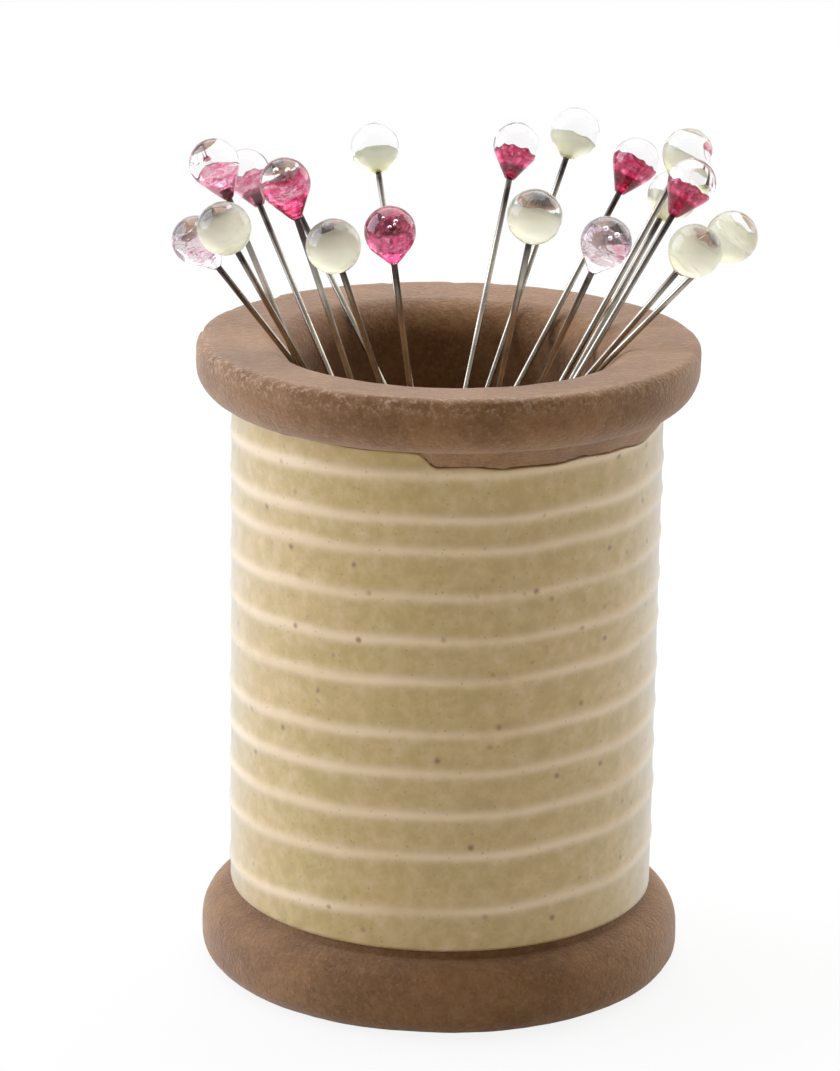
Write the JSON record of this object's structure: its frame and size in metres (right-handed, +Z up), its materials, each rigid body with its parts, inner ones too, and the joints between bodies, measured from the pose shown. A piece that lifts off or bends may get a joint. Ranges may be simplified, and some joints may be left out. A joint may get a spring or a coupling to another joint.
{
  "type": "magnetic pin bowl",
  "caption": "Stoneware pin holder shaped like a spool of thread, brown unglazed rims and a cream glazed barrel, holding glass-headed pins on a magnet in its well.",
  "frame": {"origin": "centre of the base, on the table", "axes": "+Z up; -Y is the front that the picture shows, +X to the right"},
  "size_m": [0.0511, 0.0513, 0.0776],
  "materials": {
    "stoneware": "matte",
    "glaze": "satin",
    "magnet_plate": "satin",
    "adhesive": "satin",
    "pin_steel": "polished",
    "cream_glass": "polished",
    "rose_glass": "polished"
  },
  "bodies": {
    "bowl": {"spool_body": "stoneware", "barrel_glaze": "glaze", "magnet": "magnet_plate", "magnet_bond": "adhesive"},
    "cream_pin_1": {"cream_pin_1_shaft": "pin_steel", "cream_pin_1_head": "cream_glass"},
    "cream_pin_2": {"cream_pin_2_shaft": "pin_steel", "cream_pin_2_head": "cream_glass"},
    "cream_pin_3": {"cream_pin_3_shaft": "pin_steel", "cream_pin_3_head": "cream_glass"},
    "cream_pin_4": {"cream_pin_4_shaft": "pin_steel", "cream_pin_4_head": "cream_glass"},
    "cream_pin_5": {"cream_pin_5_shaft": "pin_steel", "cream_pin_5_head": "cream_glass"},
    "cream_pin_6": {"cream_pin_6_shaft": "pin_steel", "cream_pin_6_head": "cream_glass"},
    "cream_pin_7": {"cream_pin_7_shaft": "pin_steel", "cream_pin_7_head": "cream_glass"},
    "cream_pin_8": {"cream_pin_8_shaft": "pin_steel", "cream_pin_8_head": "cream_glass"},
    "cream_pin_9": {"cream_pin_9_shaft": "pin_steel", "cream_pin_9_head": "cream_glass"},
    "rose_pin_1": {"rose_pin_1_shaft": "pin_steel", "rose_pin_1_head": "rose_glass"},
    "rose_pin_2": {"rose_pin_2_shaft": "pin_steel", "rose_pin_2_head": "rose_glass"},
    "rose_pin_3": {"rose_pin_3_shaft": "pin_steel", "rose_pin_3_head": "rose_glass"},
    "rose_pin_4": {"rose_pin_4_shaft": "pin_steel", "rose_pin_4_head": "rose_glass"},
    "rose_pin_5": {"rose_pin_5_shaft": "pin_steel", "rose_pin_5_head": "rose_glass"},
    "rose_pin_6": {"rose_pin_6_shaft": "pin_steel", "rose_pin_6_head": "rose_glass"},
    "rose_pin_7": {"rose_pin_7_shaft": "pin_steel", "rose_pin_7_head": "rose_glass"},
    "rose_pin_8": {"rose_pin_8_shaft": "pin_steel", "rose_pin_8_head": "rose_glass"},
    "rose_pin_9": {"rose_pin_9_shaft": "pin_steel", "rose_pin_9_head": "rose_glass"},
    "rose_pin_10": {"rose_pin_10_shaft": "pin_steel", "rose_pin_10_head": "rose_glass"}
  },
  "joints": [
    {"name": "cream_pin_1_draw", "type": "slide", "parent": "bowl", "child": "cream_pin_1", "axis": [-0.3796, -0.4524, 0.807], "range_m": [0, 0.04]},
    {"name": "cream_pin_2_draw", "type": "slide", "parent": "bowl", "child": "cream_pin_2", "axis": [-0.1567, 0.5849, 0.7958], "range_m": [0, 0.04]},
    {"name": "cream_pin_3_draw", "type": "slide", "parent": "bowl", "child": "cream_pin_3", "axis": [-0.2273, -0.5354, 0.8134], "range_m": [0, 0.04]},
    {"name": "cream_pin_4_draw", "type": "slide", "parent": "bowl", "child": "cream_pin_4", "axis": [0.3074, 0.4231, 0.8523], "range_m": [0, 0.04]},
    {"name": "cream_pin_5_draw", "type": "slide", "parent": "bowl", "child": "cream_pin_5", "axis": [0.1355, -0.4431, 0.8862], "range_m": [0, 0.04]},
    {"name": "cream_pin_6_draw", "type": "slide", "parent": "bowl", "child": "cream_pin_6", "axis": [0.47, 0.1995, 0.8598], "range_m": [0, 0.04]},
    {"name": "cream_pin_7_draw", "type": "slide", "parent": "bowl", "child": "cream_pin_7", "axis": [0.4556, 0.4886, 0.7441], "range_m": [0, 0.04]},
    {"name": "cream_pin_8_draw", "type": "slide", "parent": "bowl", "child": "cream_pin_8", "axis": [0.5183, -0.3766, 0.7678], "range_m": [0, 0.04]},
    {"name": "cream_pin_9_draw", "type": "slide", "parent": "bowl", "child": "cream_pin_9", "axis": [0.6717, -0.0588, 0.7385], "range_m": [0, 0.04]},
    {"name": "rose_pin_1_draw", "type": "slide", "parent": "bowl", "child": "rose_pin_1", "axis": [-0.3582, -0.167, 0.9186], "range_m": [0, 0.04]},
    {"name": "rose_pin_2_draw", "type": "slide", "parent": "bowl", "child": "rose_pin_2", "axis": [-0.3881, 0.4793, 0.7872], "range_m": [0, 0.04]},
    {"name": "rose_pin_3_draw", "type": "slide", "parent": "bowl", "child": "rose_pin_3", "axis": [-0.2848, -0.2655, 0.9211], "range_m": [0, 0.04]},
    {"name": "rose_pin_4_draw", "type": "slide", "parent": "bowl", "child": "rose_pin_4", "axis": [-0.0988, -0.5085, 0.8554], "range_m": [0, 0.04]},
    {"name": "rose_pin_5_draw", "type": "slide", "parent": "bowl", "child": "rose_pin_5", "axis": [-0.4951, -0.4304, 0.7548], "range_m": [0, 0.04]},
    {"name": "rose_pin_6_draw", "type": "slide", "parent": "bowl", "child": "rose_pin_6", "axis": [0.1833, 0.5641, 0.8051], "range_m": [0, 0.04]},
    {"name": "rose_pin_7_draw", "type": "slide", "parent": "bowl", "child": "rose_pin_7", "axis": [0.4505, 0.3917, 0.8023], "range_m": [0, 0.04]},
    {"name": "rose_pin_8_draw", "type": "slide", "parent": "bowl", "child": "rose_pin_8", "axis": [0.2905, -0.4834, 0.8258], "range_m": [0, 0.04]},
    {"name": "rose_pin_9_draw", "type": "slide", "parent": "bowl", "child": "rose_pin_9", "axis": [0.4967, 0.2641, 0.8268], "range_m": [0, 0.04]},
    {"name": "rose_pin_10_draw", "type": "slide", "parent": "bowl", "child": "rose_pin_10", "axis": [-0.4364, 0.52, 0.7343], "range_m": [0, 0.04]}
  ]
}
